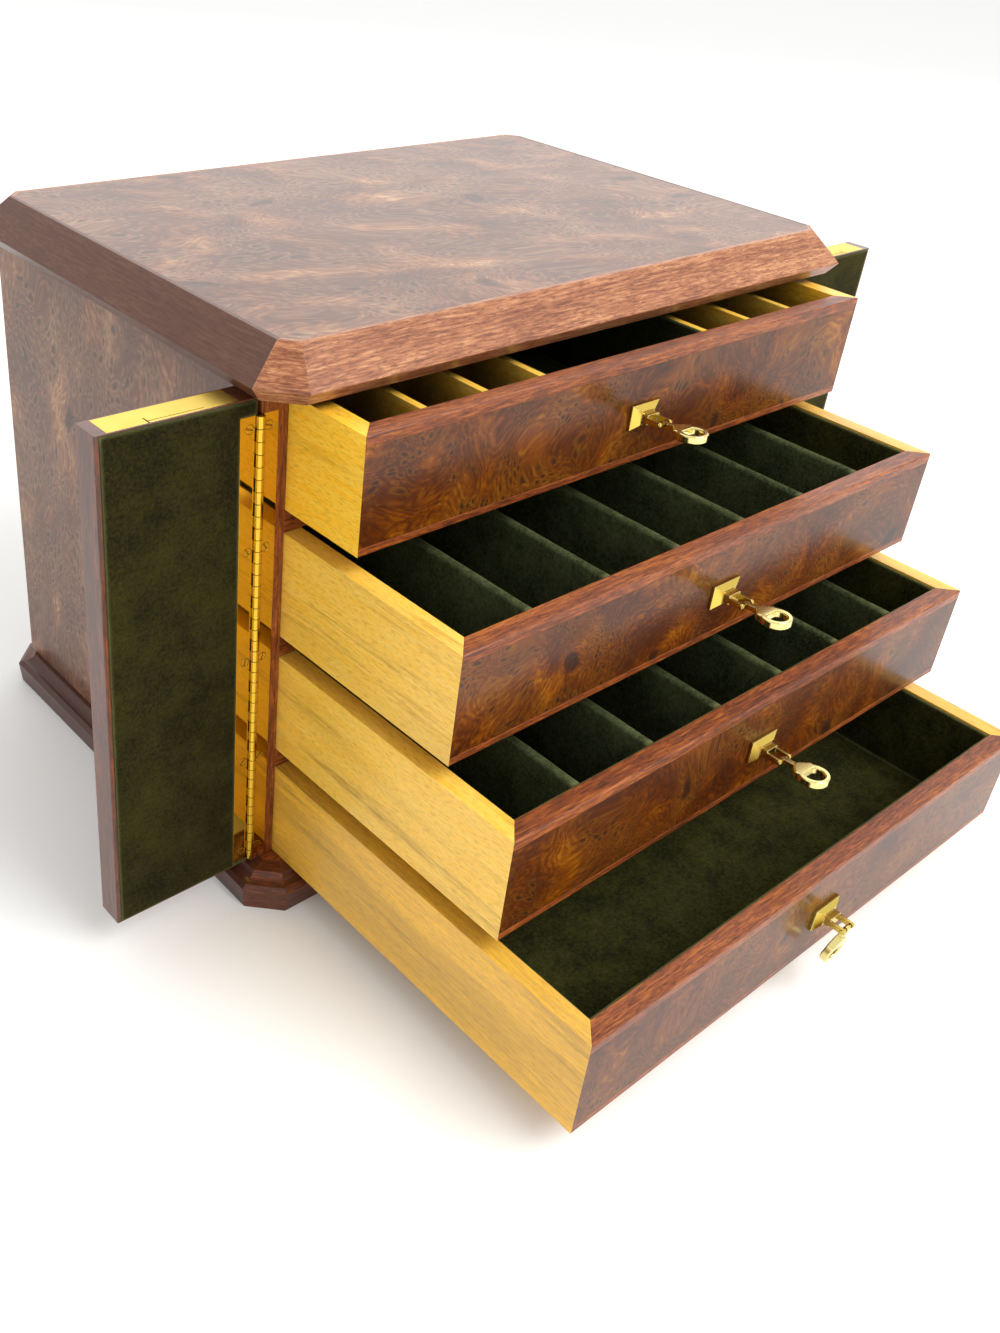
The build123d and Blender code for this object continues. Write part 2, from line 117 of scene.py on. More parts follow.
class ChestWood(bpy.types.PropertyGroup):
    """Colours of the woods."""

    burl_dark: colour_property("Burl dark", "Darkest patches of the lid and sides", "#453028")
    burl_brown: colour_property("Burl brown", "Main colour of the lid and sides", "#6B442D")
    burl_amber: colour_property("Burl amber", "Swirls of the lid and sides", "#8E6242")
    burl_pale: colour_property("Burl pale", "Palest wisps of the lid and sides", "#BA9068")
    burl_mauve: colour_property("Burl mauve", "Cooler patches of the lid and sides", "#5C4038")
    burl_eye: colour_property("Burl eyes", "Knots and eyes", "#21140F")
    front_dark: colour_property("Front dark", "Darkest patches of the drawer fronts", "#32170A")
    front_brown: colour_property("Front brown", "Main colour of the drawer fronts", "#532606")
    front_amber: colour_property("Front amber", "Swirls of the drawer fronts", "#783F05")
    front_pale: colour_property("Front pale", "Palest wisps of the drawer fronts", "#9A6212")
    front_mauve: colour_property("Front mauve", "Cooler patches of the drawer fronts", "#482410")
    moulding_dark: colour_property("Moulding dark", "Pores of the lid's moulding", "#5E2F1A")
    moulding_main: colour_property("Moulding main", "Main colour of the lid's moulding", "#965C3A")
    moulding_light: colour_property("Moulding light", "Lit streaks of the lid's moulding", "#C08A5E")
    # Painted shade: colour laid over the left and right lengths of both mouldings
    moulding_side_shade: colour_property("Moulding sides", "Left and right lengths of both mouldings", "#45261A")
    # Painted shade: a darker main colour for the plinth, which lies in the chest's shadow; the doors share
    # it
    plinth_door_shaded_main: colour_property("Plinth main", "Main colour of the plinth and doors", "#572C19")
    mahogany_dark: colour_property("Mahogany dark", "Pores and dark streaks", "#3C1C0D")
    mahogany_red: colour_property("Mahogany red", "Main colour of the mahogany", "#7E3C14")
    mahogany_light: colour_property("Mahogany light", "Lit streaks of the mahogany", "#AD6226")
    top_yellow: colour_property("Top drawer", "Main colour of the top drawer's box", "#FFBA10")
    top_light: colour_property("Top drawer light", "Pale streaks of the top drawer's box", "#FFD04A")
    divider_light: colour_property("Dividers light", "Pale streaks of the bare dividers", "#F8D468")
    # Painted shade: bare wood darkened deep in the top drawer's cells
    yellow_shade: colour_property("Yellow shade", "Bare wood deep in the top drawer's cells", "#1D1304")
    yellow_wood: colour_property("Yellow wood", "Main colour of the other drawer boxes", "#F4BB32")
    low_yellow: colour_property("Lowest drawer", "Main colour of the lowest drawer's box", "#D3A146")
    yellow_light: colour_property("Yellow light", "Pale streaks of the drawer boxes", "#F6CA5E")
    yellow_dark: colour_property("Yellow dark", "Dark mineral streaks", "#A37C30")


class ChestVelvet(bpy.types.PropertyGroup):
    """Colours and sizes of the velvet."""

    door_pile: colour_property("Door pile", "Colour of the doors' pile", "#111105")
    door_brushed: colour_property("Brushed door pile", "The doors' pile brushed back", "#35310F")
    drawer_pile: colour_property("Drawer pile", "Colour of the drawers' pile", "#17180A")
    drawer_brushed: colour_property("Brushed drawer pile", "The drawers' pile brushed back", "#3E3D16")
    # Painted light: a lighter copy of the drawers' velvet, for the dividers' lit walls
    divider_pile_lit: colour_property("Divider pile", "Colour of the dividers' pile", "#222915")
    divider_brushed_lit: colour_property("Brushed divider pile", "The dividers' pile brushed back", "#545C3B")
    # Painted shade: velvet nearly black deep in the cells
    depth: colour_property("Depth", "Velvet deep in the cells", "#050602")
    # Painted sheen: the pale line where the pile turns an edge
    nap_sheen: colour_property("Nap", "Pale line where the pile turns an edge", "#70724A")
    sheen: colour_property("Sheen", "Light that the pile's tips catch", "#777740")
    seat_gap: FloatProperty(
        name="Seat gap",
        description="Gap between velvet and the wood behind it",
        default=0.1 * MM,
        unit="LENGTH",
    )
    lining_wall: FloatProperty(
        name="Lining wall", description="Thickness of velvet on a wall", default=1.4 * MM, unit="LENGTH"
    )
    lining_floor: FloatProperty(
        name="Lining floor", description="Thickness of velvet on a floor", default=1.0 * MM, unit="LENGTH"
    )
    corner_round: FloatProperty(
        name="Corner rounding",
        description="Radius where the velvet turns a corner",
        default=1.0 * MM,
        unit="LENGTH",
    )
    grid_pitch: FloatProperty(
        name="Grid pitch",
        description="Spacing of the points that the pile moves",
        default=6 * MM,
        unit="LENGTH",
    )
    pile_height: FloatProperty(
        name="Pile unevenness",
        description="How far uneven pile stands out",
        default=0.18 * MM,
        unit="LENGTH",
    )


class ChestBrass(bpy.types.PropertyGroup):
    """Colours of the brass."""

    polished: colour_property("Polished brass", "Plates of the pulls", "#DABD57")
    bright: colour_property("Bright brass", "Folding bows of the pulls", "#E8D991")
    # Painted highlight: pale colour on the pulls' edges
    rim_highlight: colour_property("Rubbed brass", "Edges of the pulls, where hands rub them", "#F6EDC0")
    rolled: colour_property("Rolled brass", "Hinges", "#DDB43C")
    plate: colour_property("Plate brass", "Cap plates in the doors' top edges", "#EACB62")
    # Tarnish and painted shade: brass darkened in corners and slots, also the painted shadow lines at the
    # hinges' edges
    tarnish_and_shade: colour_property("Tarnish", "Brass in corners and slots", "#5E3D12")
    # Painted shade: screw heads darkened where they sit in the leaves' sinkings
    screw: colour_property("Brass screws", "Heads of the screws, in the leaves' sinkings", "#A87434")


class ChestStage(bpy.types.PropertyGroup):
    """Camera, lights and floor."""

    camera_place: FloatVectorProperty(
        name="Camera place",
        description="Where the camera stands",
        default=(-0.4941, -0.5235, 0.4977),
        unit="LENGTH",
    )
    camera_turn: FloatVectorProperty(
        name="Camera turn",
        description="Azimuth, elevation and roll of the camera",
        default=(radians(-42.75), radians(32.43), radians(5.02)),
        subtype="EULER",
    )
    focal_length_mm: FloatProperty(name="Focal length", description="In millimetres", default=34.70)
    floor_colour: colour_property("Floor", "Colour of the floor", "#F6F6F4")
    sky_colour: colour_property("Surroundings", "Colour of the light all round", "#FFFFFF")
    sky_strength: FloatProperty(
        name="Surroundings strength", description="Strength of the light all round", default=1.0
    )
    key_power: FloatProperty(name="Key light", description="High front light", default=45.0, unit="POWER")
    back_power: FloatProperty(
        name="Back light", description="Softbox that the lid reflects", default=15.0, unit="POWER"
    )


# Small helpers


def per_mm(size_mm):
    """Texture scale whose features are this many millimetres across."""
    return 1000 / size_mm


def opaque(colour):
    """A colour with full alpha."""
    return (*colour, 1.0)


def add_node(tree, kind, inputs=None, stops=(), **settings):
    """Adds a node with its settings. Each input takes a value, or an output socket to link. A colour ramp
    also takes its stops, as (place, linear colour) in order."""
    node = tree.nodes.new(kind)
    for name, value in settings.items():
        setattr(node, name, value)
    for socket, value in (inputs or {}).items():
        if isinstance(value, bpy.types.NodeSocket):
            tree.links.new(value, node.inputs[socket])
        else:
            node.inputs[socket].default_value = value
    for number, (place, colour) in enumerate(stops):
        elements = node.color_ramp.elements
        element = elements[number] if number < len(elements) else elements.new(place)
        element.position, element.color = place, opaque(colour)
    return node


def new_material(name):
    """An empty material with nodes, and its node tree."""
    material = bpy.data.materials.new(name)
    material.use_nodes = True
    material.node_tree.nodes.clear()
    return material, material.node_tree


def close_material(tree, **inputs):
    """Ends a material with one Principled shader. Double underscores in a name stand for spaces."""
    sockets = {name.replace("__", " "): value for name, value in inputs.items()}
    shader = add_node(tree, "ShaderNodeBsdfPrincipled", sockets)
    add_node(tree, "ShaderNodeOutputMaterial", {"Surface": shader.outputs["BSDF"]})


def edge_mask(tree, radius, low, high, share):
    """A normal that is rounded at the edges, and a mask of the edges that rises to share. It is found
    where that normal leaves the flat one: low is their agreement where it starts and high where it ends."""
    rounded = add_node(tree, "ShaderNodeBevel", {"Radius": radius}, samples=4).outputs["Normal"]
    flat = add_node(tree, "ShaderNodeNewGeometry").outputs["True Normal"]
    agreement = add_node(tree, "ShaderNodeVectorMath", {0: rounded, 1: flat}, operation="DOT_PRODUCT")
    mask = add_node(
        tree,
        "ShaderNodeMapRange",
        {"Value": agreement.outputs["Value"], "From Min": low, "From Max": high, "To Max": share},
    ).outputs["Result"]
    return rounded, mask


def lay_over(tree, colour, layers):
    """Mixes (share, colour) layers over a colour, one after the other."""
    for share, laid_over in layers:
        colour = add_node(
            tree, "ShaderNodeMix", {"Factor": share, 6: colour, 7: opaque(laid_over)}, data_type="RGBA"
        ).outputs[2]
    return colour


def give(material, *names):
    """Gives CAD nodes this material."""
    for name in names:
        slots = NODES[name].data.materials
        slots.clear()
        slots.append(material)


# Woods


def burl_veneer(colours, name, plane, stretch, turn, shift, coat, spread):
    """Burl veneer under clear lacquer: soft swirling patches crossed by contour lines, clusters of small
    dark eyes with paler rims, and a few knots.

    The sheet lies along the first two axes of the plane, and the third, if there is one, carries the
    figure round the sheet's end. The figure is drawn out by stretch along two directions that are turned
    from those axes. Coat is the lacquer's weight and roughness and the wood's own gloss, and spread is the
    share of the sheet without eyes, the eyes' spacing in mm and their darkness."""
    dark, brown, amber, pale, mauve, eye = colours
    bare_share, eye_mm, darkness = spread
    cluster_mm, knot_mm, field_mm, patch_mm, strand_mm = 30, 90, 42, 32, 2.6
    contours, line_share, strand_share, rim_share = 40.0, 0.24, 0.88, 0.2
    material, tree = new_material(name)
    place = add_node(tree, "ShaderNodeTexCoord").outputs["Object"]
    parts = add_node(tree, "ShaderNodeSeparateXYZ", {"Vector": place})
    across = parts.outputs[plane[0]]
    for axis in plane[2:]:
        both = {0: across, 1: parts.outputs[axis]}
        across = add_node(tree, "ShaderNodeMath", both, operation="ADD").outputs["Value"]
    flat = add_node(tree, "ShaderNodeCombineXYZ", {"X": across, "Y": parts.outputs[plane[1]]})
    sheet = add_node(
        tree,
        "ShaderNodeMapping",
        {
            "Vector": flat.outputs["Vector"],
            "Location": (*shift, 0),
            "Rotation": (0, 0, radians(turn)),
            "Scale": (*stretch, 1),
        },
        vector_type="TEXTURE",
    ).outputs["Vector"]

    # Rounds of warping turn plain noise into swirls and plain cells into ragged ones
    warped = sheet
    for warp_mm, push_mm in ((85, 60), (22, 10), (3.5, 1.4)):
        push = add_node(
            tree,
            "ShaderNodeTexNoise",
            {"Vector": warped, "Scale": per_mm(warp_mm), "Detail": 2.0},
            noise_dimensions="2D",
        )
        centred = add_node(
            tree,
            "ShaderNodeVectorMath",
            {0: push.outputs["Color"], 1: (0.5, 0.5, 0.5)},
            operation="SUBTRACT",
        )
        warped = add_node(
            tree,
            "ShaderNodeVectorMath",
            {0: centred.outputs["Vector"], 1: [push_mm * MM] * 3, 2: warped},
            operation="MULTIPLY_ADD",
        ).outputs["Vector"]

    # Eyes: dark spots in most of the cells, only where the cluster noise is high
    cells = add_node(
        tree, "ShaderNodeTexVoronoi", {"Vector": warped, "Scale": per_mm(eye_mm)}, voronoi_dimensions="2D"
    )
    cluster_noise = add_node(
        tree,
        "ShaderNodeTexNoise",
        {"Vector": sheet, "Scale": per_mm(cluster_mm), "Detail": 2.0},
        noise_dimensions="2D",
    ).outputs["Fac"]
    cluster = add_node(
        tree,
        "ShaderNodeMapRange",
        {"Value": cluster_noise, "From Min": bare_share, "From Max": bare_share + 0.1},
        interpolation_type="SMOOTHSTEP",
    ).outputs["Result"]
    chance = add_node(tree, "ShaderNodeSeparateColor", {"Color": cells.outputs["Color"]}).outputs["Red"]
    radius = add_node(
        tree, "ShaderNodeMapRange", {"Value": chance, "From Min": 0.25, "From Max": 0.9, "To Max": 0.42}
    ).outputs["Result"]
    depth = add_node(
        tree, "ShaderNodeMath", {0: radius, 1: cells.outputs["Distance"]}, operation="SUBTRACT"
    )
    masks = []
    for low, high in ((-0.16, 0.24), (-0.26, -0.1)):
        ring = add_node(
            tree,
            "ShaderNodeMapRange",
            {"Value": depth.outputs["Value"], "From Min": low, "From Max": high},
            interpolation_type="SMOOTHSTEP",
        ).outputs["Result"]
        mask = add_node(tree, "ShaderNodeMath", {0: ring, 1: cluster}, operation="MULTIPLY")
        masks.append(mask.outputs["Value"])
    eyes, rims = masks
    rims = add_node(tree, "ShaderNodeMath", {0: rims, 1: rim_share}, operation="MULTIPLY").outputs["Value"]

    # A few large knots
    knot_distance = add_node(
        tree, "ShaderNodeTexVoronoi", {"Vector": warped, "Scale": per_mm(knot_mm)}, voronoi_dimensions="2D"
    ).outputs["Distance"]
    knots = add_node(
        tree,
        "ShaderNodeMapRange",
        {"Value": knot_distance, "From Min": 0.085, "From Max": 0.035},
        interpolation_type="SMOOTHSTEP",
    ).outputs["Result"]

    # Contour lines of a soft field that rises at the knots, so that the lines run round them
    field = add_node(
        tree,
        "ShaderNodeTexNoise",
        {"Vector": warped, "Scale": per_mm(field_mm), "Detail": 2.0, "Roughness": 0.45},
        noise_dimensions="2D",
    ).outputs["Fac"]
    near_knot = add_node(
        tree,
        "ShaderNodeMapRange",
        {"Value": knot_distance, "From Min": 0.4, "From Max": 0.0, "To Max": 0.3},
        interpolation_type="SMOOTHSTEP",
    ).outputs["Result"]
    raised = add_node(tree, "ShaderNodeMath", {0: field, 1: near_knot}, operation="ADD").outputs["Value"]
    levels = add_node(
        tree, "ShaderNodeMath", {0: raised, 1: contours}, operation="MULTIPLY"
    ).outputs["Value"]
    lines = add_node(tree, "ShaderNodeMath", {0: levels, 1: 1.0}, operation="PINGPONG").outputs["Value"]
    patches = add_node(
        tree,
        "ShaderNodeTexNoise",
        {"Vector": warped, "Scale": per_mm(patch_mm), "Detail": 5.0, "Roughness": 0.5},
        noise_dimensions="2D",
    ).outputs["Fac"]
    strands = add_node(
        tree,
        "ShaderNodeTexNoise",
        {"Vector": warped, "Scale": per_mm(strand_mm), "Detail": 4.0, "Roughness": 0.65},
        noise_dimensions="2D",
    ).outputs["Fac"]

    # The tone is the patches with lines and strands laid over them
    tone = add_node(
        tree,
        "ShaderNodeMapRange",
        {"Value": patches, "From Min": 0.28, "From Max": 0.74, "To Min": 0.17, "To Max": 0.83},
    ).outputs["Result"]
    for layer, share in ((lines, line_share), (strands, strand_share)):
        centred = add_node(
            tree, "ShaderNodeMath", {0: layer, 1: 0.5}, operation="SUBTRACT"
        ).outputs["Value"]
        tone = add_node(
            tree, "ShaderNodeMath", {0: centred, 1: share, 2: tone}, operation="MULTIPLY_ADD"
        ).outputs["Value"]
    stops = ((0.0, dark), (0.38, brown), (0.7, amber), (1.0, pale))
    figure = add_node(tree, "ShaderNodeValToRGB", {"Fac": tone}, stops).outputs["Color"]
    veil = add_node(
        tree,
        "ShaderNodeMapRange",
        {
            "Value": cluster_noise,
            "From Min": bare_share - 0.1,
            "From Max": bare_share + 0.12,
            "To Max": 0.5,
        },
        interpolation_type="SMOOTHSTEP",
    ).outputs["Result"]
    spots = add_node(tree, "ShaderNodeMath", {0: eyes, 1: knots}, operation="MAXIMUM").outputs["Value"]
    spots = add_node(tree, "ShaderNodeMath", {0: spots, 1: darkness}, operation="MULTIPLY").outputs["Value"]
    coat_weight, coat_roughness, own_gloss = coat
    close_material(
        tree,
        Base__Color=lay_over(tree, figure, ((veil, mauve), (rims, pale), (spots, eye))),
        Roughness=0.45,
        Specular__IOR__Level=own_gloss,
        Coat__Weight=coat_weight,
        Coat__Roughness=coat_roughness,
        Coat__IOR=1.52,
    )
    return material


def frame_grain(tree, place):
    """For the mitred frames of the lid and plinth: coordinates with X along each length and Y across it,
    and a mask of the left and right lengths. A point belongs to the length on whose side it lies
    furthest beyond the lid panel's outline."""
    outline = [v.co for v in NODES["lid_panel"].data.vertices]
    half_x, half_y = (max(point[axis] for point in outline) for axis in (0, 1))
    corner_leg = half_x - max(point.x for point in outline if half_y - point.y < TOUCH)
    diagonal = 0.5**0.5
    parts = add_node(tree, "ShaderNodeSeparateXYZ", {"Vector": place})
    size_x, size_y = (
        add_node(tree, "ShaderNodeMath", {0: parts.outputs[axis]}, operation="ABSOLUTE").outputs["Value"]
        for axis in ("X", "Y")
    )
    out_x = add_node(tree, "ShaderNodeMath", {0: size_x, 1: half_x}, operation="SUBTRACT").outputs["Value"]
    out_y = add_node(tree, "ShaderNodeMath", {0: size_y, 1: half_y}, operation="SUBTRACT").outputs["Value"]
    both = add_node(tree, "ShaderNodeMath", {0: out_x, 1: out_y}, operation="ADD").outputs["Value"]
    out_corner = add_node(
        tree, "ShaderNodeMath", {0: both, 1: diagonal, 2: corner_leg * diagonal}, operation="MULTIPLY_ADD"
    ).outputs["Value"]
    straight = add_node(tree, "ShaderNodeMath", {0: out_x, 1: out_y}, operation="MAXIMUM").outputs["Value"]
    is_side = add_node(
        tree, "ShaderNodeMath", {0: out_x, 1: out_y}, operation="GREATER_THAN"
    ).outputs["Value"]
    is_corner = add_node(
        tree, "ShaderNodeMath", {0: out_corner, 1: straight}, operation="GREATER_THAN"
    ).outputs["Value"]
    turned = add_node(tree, "ShaderNodeMath", {0: size_x, 1: size_y}, operation="SUBTRACT").outputs["Value"]
    along = add_node(
        tree, "ShaderNodeMix", {"Factor": is_side, 2: parts.outputs["X"], 3: parts.outputs["Y"]}
    ).outputs[0]
    along = add_node(tree, "ShaderNodeMix", {"Factor": is_corner, 2: along, 3: turned}).outputs[0]
    across = add_node(tree, "ShaderNodeMath", {0: out_corner, 1: straight}, operation="MAXIMUM")
    grain = add_node(
        tree, "ShaderNodeCombineXYZ", {"X": along, "Y": across.outputs["Value"], "Z": parts.outputs["Z"]}
    ).outputs["Vector"]
    side_shade_mask = add_node(
        tree, "ShaderNodeMath", {0: is_side, 1: is_corner}, operation="SUBTRACT", use_clamp=True
    ).outputs["Value"]
    return grain, side_shade_mask


def mahogany(colours, name, grain, lacquer=0.25, side_shade_colour=None):
    """Mahogany under satin lacquer: short dark pores and broken lighter streaks along the grain, wide soft
    ribbons, and edges painted lighter, partly wear and partly painted highlight. Grain is an axis and
    lacquer the weight of the coat. With a side colour the piece is a mitred frame whose left and right
    lengths get painted shade in that colour."""
    dark, main, light = colours
    streak_mm, ribbon_mm, pore_mm = 1.1, 10, 0.8
    streak_draw, pore_draw = 0.09, 0.2
    ribbon_share, level, side_shade_share = 0.45, -0.22, 0.85
    material, tree = new_material(name)
    place = add_node(tree, "ShaderNodeTexCoord").outputs["Object"]
    if side_shade_colour:
        place, side_shade_mask = frame_grain(tree, place)
    drawn, short = (
        add_node(
            tree,
            "ShaderNodeMapping",
            {
                "Vector": place,
                "Rotation": (0, 0, radians(1.5)),
                "Scale": [draw if axis == grain else 1.0 for axis in "XYZ"],
            },
        ).outputs["Vector"]
        for draw in (streak_draw, pore_draw)
    )
    streaks = add_node(
        tree,
        "ShaderNodeTexNoise",
        {"Vector": drawn, "Scale": per_mm(streak_mm), "Detail": 4.0, "Roughness": 0.65},
    ).outputs["Fac"]
    ribbons = add_node(
        tree,
        "ShaderNodeTexNoise",
        {"Vector": drawn, "Scale": per_mm(ribbon_mm), "Detail": 2.0, "Distortion": 0.4},
    ).outputs["Fac"]
    pore_noise = add_node(
        tree, "ShaderNodeTexNoise", {"Vector": short, "Scale": per_mm(pore_mm), "Detail": 2.0}
    ).outputs["Fac"]
    pores = add_node(
        tree,
        "ShaderNodeMapRange",
        {"Value": pore_noise, "From Min": 0.53, "From Max": 0.66, "To Max": 0.6},
        interpolation_type="SMOOTHSTEP",
    ).outputs["Result"]
    soft = add_node(
        tree, "ShaderNodeMath", {0: ribbons, 1: ribbon_share, 2: level}, operation="MULTIPLY_ADD"
    ).outputs["Value"]
    tone = add_node(tree, "ShaderNodeMath", {0: streaks, 1: soft}, operation="ADD").outputs["Value"]
    stops = ((0.28, dark), (0.5, main), (0.72, light))
    colour = add_node(tree, "ShaderNodeValToRGB", {"Fac": tone}, stops).outputs["Color"]

    # Edges lighter: partly wear on the arris, partly painted highlight along it
    rounded, edge = edge_mask(tree, 0.7 * MM, 0.97, 0.8, 0.35)
    layers = [(pores, dark), (edge, light)]
    # Painted shade: the left and right lengths darkened toward the side colour
    if side_shade_colour:
        side_shade = add_node(
            tree, "ShaderNodeMath", {0: side_shade_mask, 1: side_shade_share}, operation="MULTIPLY"
        ).outputs["Value"]
        layers.insert(1, (side_shade, side_shade_colour))
    close_material(
        tree,
        Base__Color=lay_over(tree, colour, layers),
        Roughness=0.45,
        Specular__IOR__Level=0.3,
        Coat__Weight=lacquer,
        Coat__Roughness=0.18,
        Normal=rounded,
    )
    return material


def closed_in_shade(tree, reach, open_share, closed_share):
    """Mask for painted shade where walls close in: 0 where at least the open share of the sky is seen
    within this reach, nearly 1 where no more than the closed share is."""
    open_sky = add_node(tree, "ShaderNodeAmbientOcclusion", {"Distance": reach}, samples=8).outputs["AO"]
    return add_node(
        tree,
        "ShaderNodeMapRange",
        {"Value": open_sky, "From Min": open_share, "From Max": closed_share, "To Max": 0.97},
    ).outputs["Result"]


def yellow_wood(colours, name, streaks=0.8, shade=None):
    """Pale hardwood under tinted satin lacquer: fine straight grain along the drawer, small flecks, soft
    clouds and a few grey-green mineral streaks, as strong as streaks says. With a shade it gets painted
    shade where walls close it in."""
    dark, main, light = colours
    grain_mm, band_mm, fleck_mm, cloud_mm = 1.3, 12, 0.7, 30
    grain_draw, fleck_draw = 0.07, 0.16
    material, tree = new_material(name)
    place = add_node(tree, "ShaderNodeTexCoord").outputs["Object"]
    drawn, short = (
        add_node(
            tree,
            "ShaderNodeMapping",
            {"Vector": place, "Rotation": (radians(-9), 0, 0), "Scale": (1.0, draw, 1.0)},
        ).outputs["Vector"]
        for draw in (grain_draw, fleck_draw)
    )
    grain = add_node(
        tree,
        "ShaderNodeTexNoise",
        {"Vector": drawn, "Scale": per_mm(grain_mm), "Detail": 4.0, "Roughness": 0.6},
    ).outputs["Fac"]
    bands = add_node(
        tree,
        "ShaderNodeTexNoise",
        {"Vector": drawn, "Scale": per_mm(band_mm), "Detail": 3.0, "Distortion": 0.5},
    ).outputs["Fac"]
    streak = add_node(
        tree,
        "ShaderNodeMapRange",
        {"Value": bands, "From Min": 0.5, "From Max": 0.7, "To Max": streaks},
        interpolation_type="SMOOTHSTEP",
    ).outputs["Result"]
    stops = ((0.3, main), (0.7, light))
    figure = add_node(tree, "ShaderNodeValToRGB", {"Fac": grain}, stops).outputs["Color"]
    fine = add_node(
        tree, "ShaderNodeMapRange", {"Value": grain, "From Min": 0.62, "From Max": 0.34}
    ).outputs["Result"]
    mineral = add_node(tree, "ShaderNodeMath", {0: streak, 1: fine}, operation="MULTIPLY").outputs["Value"]
    fleck_noise = add_node(
        tree, "ShaderNodeTexNoise", {"Vector": short, "Scale": per_mm(fleck_mm), "Detail": 3.0}
    ).outputs["Fac"]
    flecks = add_node(
        tree,
        "ShaderNodeMapRange",
        {"Value": fleck_noise, "From Min": 0.48, "From Max": 0.68, "To Max": 0.36},
        interpolation_type="SMOOTHSTEP",
    ).outputs["Result"]
    cloud_noise = add_node(
        tree,
        "ShaderNodeTexNoise",
        {"Vector": drawn, "Scale": per_mm(cloud_mm), "Detail": 3.0, "Distortion": 0.6},
    ).outputs["Fac"]
    clouds = add_node(
        tree,
        "ShaderNodeMapRange",
        {"Value": cloud_noise, "From Min": 0.42, "From Max": 0.66, "To Max": streaks * 0.4},
        interpolation_type="SMOOTHSTEP",
    ).outputs["Result"]
    layers = [(mineral, dark), (clouds, dark), (flecks, dark)]
    # Painted shade: bare wood darkened where walls close it in
    if shade:
        layers.append((closed_in_shade(tree, *WOOD_SHADE), shade))
    close_material(
        tree,
        Base__Color=lay_over(tree, figure, layers),
        Roughness=0.42,
        Coat__Weight=0.2,
        Coat__Roughness=0.25,
    )
    return material


# Velvet


def cotton_velvet(pile, brushed_pile, velvet, name, deep=False):
    """Cotton velvet with a short pile: dark from above, lighter in clouds and flecks where it has been
    brushed the other way, with a painted sheen in a pale line where the pile turns an edge. Deep velvet
    gets painted shade, nearly black inside a narrow cell."""
    cloud_mm, tuft_mm, tuft_share = 22, 1.8, 1.3
    material, tree = new_material(name)
    place = add_node(tree, "ShaderNodeTexCoord").outputs["Object"]
    clouds = add_node(
        tree,
        "ShaderNodeTexNoise",
        {"Vector": place, "Scale": per_mm(cloud_mm), "Detail": 5.0, "Roughness": 0.7},
    ).outputs["Fac"]
    tufts = add_node(
        tree,
        "ShaderNodeTexNoise",
        {"Vector": place, "Scale": per_mm(tuft_mm), "Detail": 4.0, "Roughness": 0.8},
    ).outputs["Fac"]
    mixed = add_node(
        tree, "ShaderNodeMath", {0: tufts, 1: tuft_share, 2: clouds}, operation="MULTIPLY_ADD"
    )
    brushed = add_node(
        tree, "ShaderNodeMapRange", {"Value": mixed.outputs["Value"], "From Min": 0.93, "From Max": 1.46}
    ).outputs["Result"]
    # Painted sheen: a pale line where the pile turns an edge
    edge = edge_mask(tree, 2.4 * MM, 0.98, 0.75, 0.7)[1]
    layers = [(brushed, brushed_pile), (edge, velvet.nap_sheen)]
    # Painted shade: velvet nearly black where walls close it in
    if deep:
        layers.insert(1, (closed_in_shade(tree, *VELVET_SHADE), velvet.depth))
    colour = lay_over(tree, opaque(pile), layers)
    bump = add_node(
        tree, "ShaderNodeBump", {"Height": tufts, "Distance": 0.6 * MM, "Strength": 0.7}
    ).outputs["Normal"]
    close_material(
        tree,
        Base__Color=colour,
        Roughness=0.95,
        Specular__IOR__Level=0.1,
        Sheen__Weight=0.4,
        Sheen__Roughness=0.4,
        Sheen__Tint=opaque(velvet.sheen),
        Normal=bump,
    )
    return material


def add_block(bm, low, high):
    """Adds a box between two corners and returns its points."""
    size = [b - a for a, b in zip(low, high)]
    middle = Vector([(a + b) / 2 for a, b in zip(low, high)])
    matrix = Matrix.Translation(middle) @ Matrix.Diagonal((*size, 1.0))
    return bmesh.ops.create_cube(bm, size=1.0, matrix=matrix)["verts"]


def cut_in_grid(bm, low, high, pitch):
    """Cuts everything into cells no larger than this pitch, along all three axes."""
    for axis in range(3):
        normal = Vector((0, 0, 0))
        normal[axis] = 1.0
        count = ceil((high[axis] - low[axis]) / pitch)
        for n in range(1, count):
            point = Vector(low)
            point[axis] = low[axis] + (high[axis] - low[axis]) * n / count
            everything = [*bm.verts, *bm.edges, *bm.faces]
            bmesh.ops.bisect_plane(bm, geom=everything, dist=1e-7, plane_co=point, plane_no=normal)


def round_edges(bm, edges, radius, segments=3):
    """Rounds these edges."""
    bmesh.ops.bevel(
        bm,
        geom=edges,
        offset=radius,
        offset_type="OFFSET",
        segments=segments,
        profile=0.5,
        affect="EDGES",
        material=-1,
        clamp_overlap=True,
    )


def ruffle(bm, height, pitch=9 * MM):
    """Moves the points a little in and out, as pile that lies unevenly."""
    bm.normal_update()
    moves = [(v, v.normal * height * noise.noise(v.co / pitch)) for v in bm.verts]
    for vert, move in moves:
        vert.co += move


def finish_velvet(bm, name, material, body, nodes, velvet):
    ruffle(bm, velvet.pile_height)
    bmesh.ops.recalc_face_normals(bm, faces=bm.faces)
    mesh = bpy.data.meshes.new(name)
    for face in bm.faces:
        face.smooth = True
    bm.to_mesh(mesh)
    bm.free()
    piece = bpy.data.objects.new(name, mesh)
    bpy.context.scene.collection.objects.link(piece)
    mesh.materials.append(material)
    weighted = piece.modifiers.new("Weighted normals", "WEIGHTED_NORMAL")
    weighted.keep_sharp = True
    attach(piece, body)
    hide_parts(*nodes)


